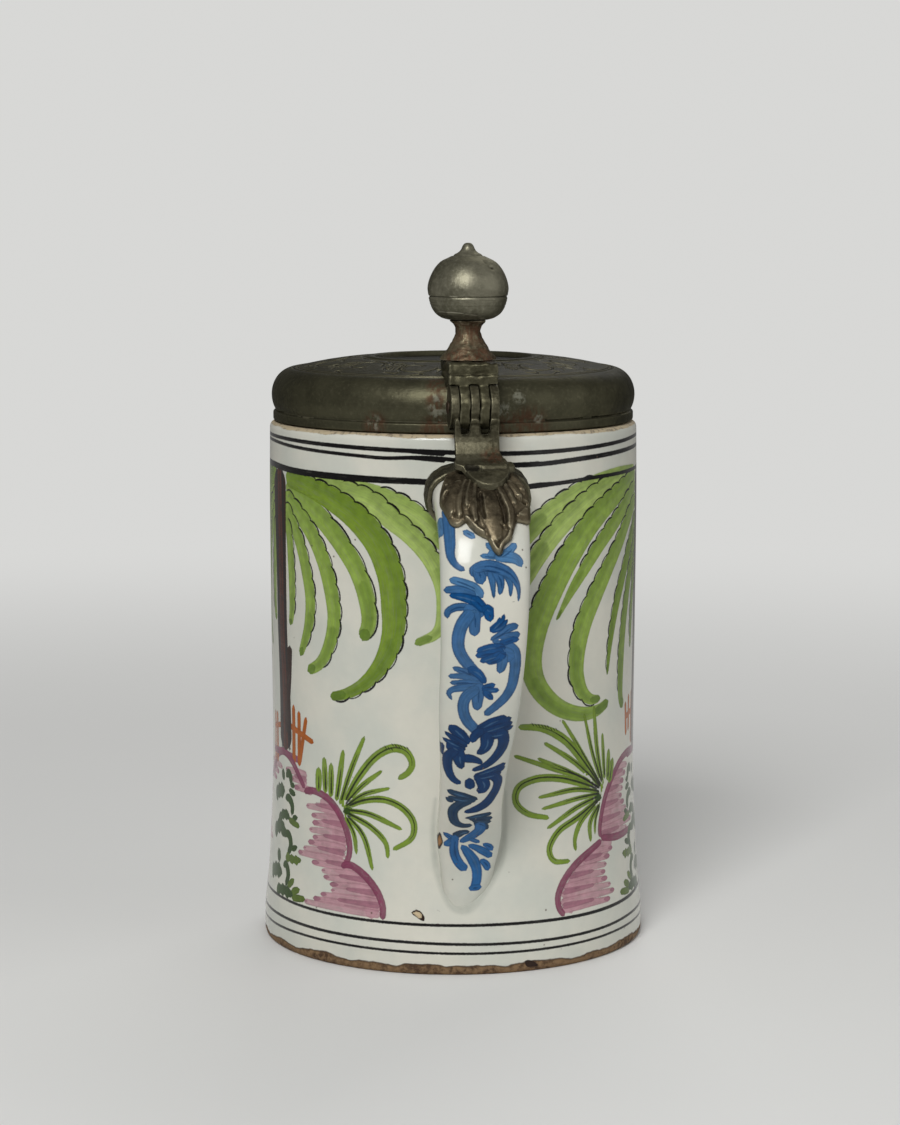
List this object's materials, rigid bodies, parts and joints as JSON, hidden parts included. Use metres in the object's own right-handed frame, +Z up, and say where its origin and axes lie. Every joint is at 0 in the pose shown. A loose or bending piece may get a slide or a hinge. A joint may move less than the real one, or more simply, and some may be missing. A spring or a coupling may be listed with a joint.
{
  "type": "lidded tankard",
  "caption": "Tin-glazed earthenware cylinder tankard with an ear handle, a hinged pewter lid and a ball thumbpiece.",
  "frame": {"origin": "centre of the flat underside of the vessel", "axes": "+Z up along the vessel's axis, -Y towards the handle, X along the lid's hinge pin"},
  "size_m": [0.1316, 0.1715, 0.24],
  "materials": {
    "glazed_body": "gloss",
    "glazed_handle": "gloss",
    "pewter_mount": "satin",
    "pewter_lid": "satin",
    "pewter_thumbpiece": "satin",
    "iron_pin": "satin"
  },
  "bodies": {
    "vessel": {"faience_body": "glazed_body", "faience_handle": "glazed_handle", "handle_collar": "pewter_mount", "palmette": "pewter_mount", "hinge_strap": "pewter_mount", "hinge_pin": "iron_pin"},
    "lid": {"lid_shell": "pewter_lid", "lid_bracket": "pewter_lid", "thumb_stem": "pewter_thumbpiece", "thumb_ball_lower": "pewter_thumbpiece", "thumb_ball_upper": "pewter_thumbpiece"}
  },
  "joints": [
    {"name": "lid_hinge", "type": "hinge", "parent": "vessel", "child": "lid", "pos_m": [-0.0013, -0.0703, 0.188], "axis": [1, 0, 0], "range_deg": [0, 95]}
  ]
}
